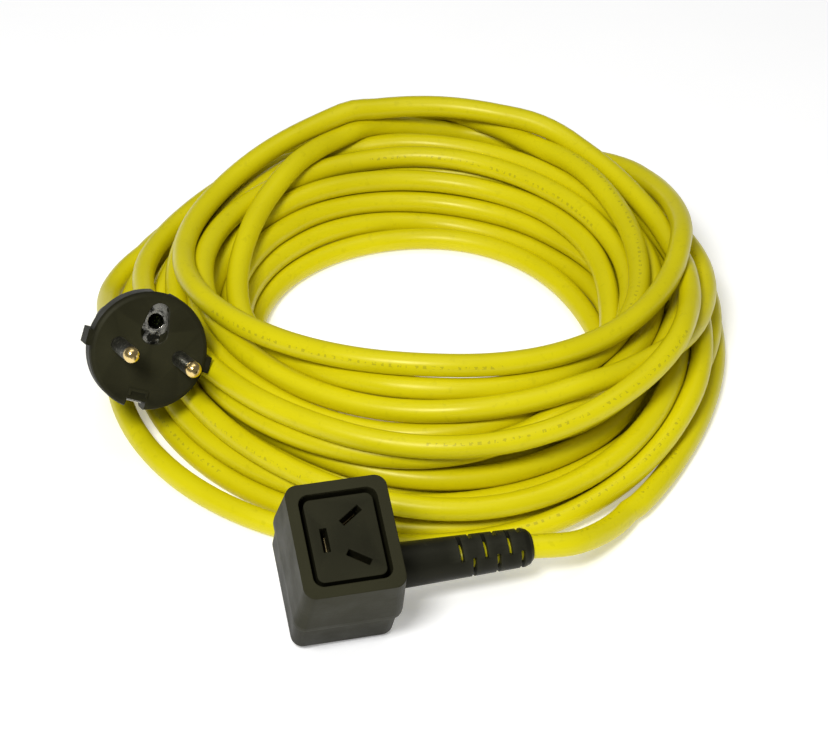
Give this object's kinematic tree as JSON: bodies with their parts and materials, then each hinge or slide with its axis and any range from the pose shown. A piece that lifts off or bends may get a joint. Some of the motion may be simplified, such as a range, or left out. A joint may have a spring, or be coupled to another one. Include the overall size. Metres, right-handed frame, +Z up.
{
  "type": "shore power cord",
  "caption": "Shore power cord: a long yellow three-core lead in a loose coil, with a round two-pin plug at one end and a square right-angle slotted connector at the other.",
  "frame": {"origin": "on the surface that the coil lies on, under the middle of the box round the plug and the connector", "axes": "+Z up; -Y is the front, where the connector lies; +X to the right, the way the connector's cable leaves it"},
  "size_m": [0.2015, 0.2523, 0.0535],
  "materials": {
    "black_shell": "moulded, satin, fine texture",
    "dark_insert": "moulded, matt",
    "black_boot": "soft, satin",
    "pin_brass": "bright, turned",
    "plated_metal": "dull plating",
    "contact_brass": "stamped",
    "screw_steel": "zinc plated",
    "clamp_plastic": "moulded, matt",
    "core_brown": "extruded, satin",
    "core_blue": "extruded, satin",
    "core_green_yellow": "extruded, satin, two-colour stripe",
    "yellow_jacket": "extruded, satin gloss"
  },
  "bodies": {
    "root": {"plug_body": "black_shell", "plug_carrier": "dark_insert", "live_pin": "pin_brass", "neutral_pin": "pin_brass", "earth_socket": "plated_metal", "earth_strap": "plated_metal", "plug_sleeve": "black_boot", "plug_live_core": "core_brown", "plug_neutral_core": "core_blue", "plug_earth_core": "core_green_yellow", "head_shell": "black_shell", "rear_cover": "black_shell", "contact_carrier": "dark_insert", "live_contact": "contact_brass", "neutral_contact": "contact_brass", "earth_contact": "contact_brass", "terminal_screws": "screw_steel", "cord_clamp": "clamp_plastic", "clamp_screws": "screw_steel", "cover_screws": "screw_steel", "strain_relief": "black_boot", "head_live_core": "core_brown", "head_neutral_core": "core_blue", "head_earth_core": "core_green_yellow", "cord_coil": "yellow_jacket", "plug_tail": "yellow_jacket", "connector_tail": "yellow_jacket"}
  },
  "joints": []
}
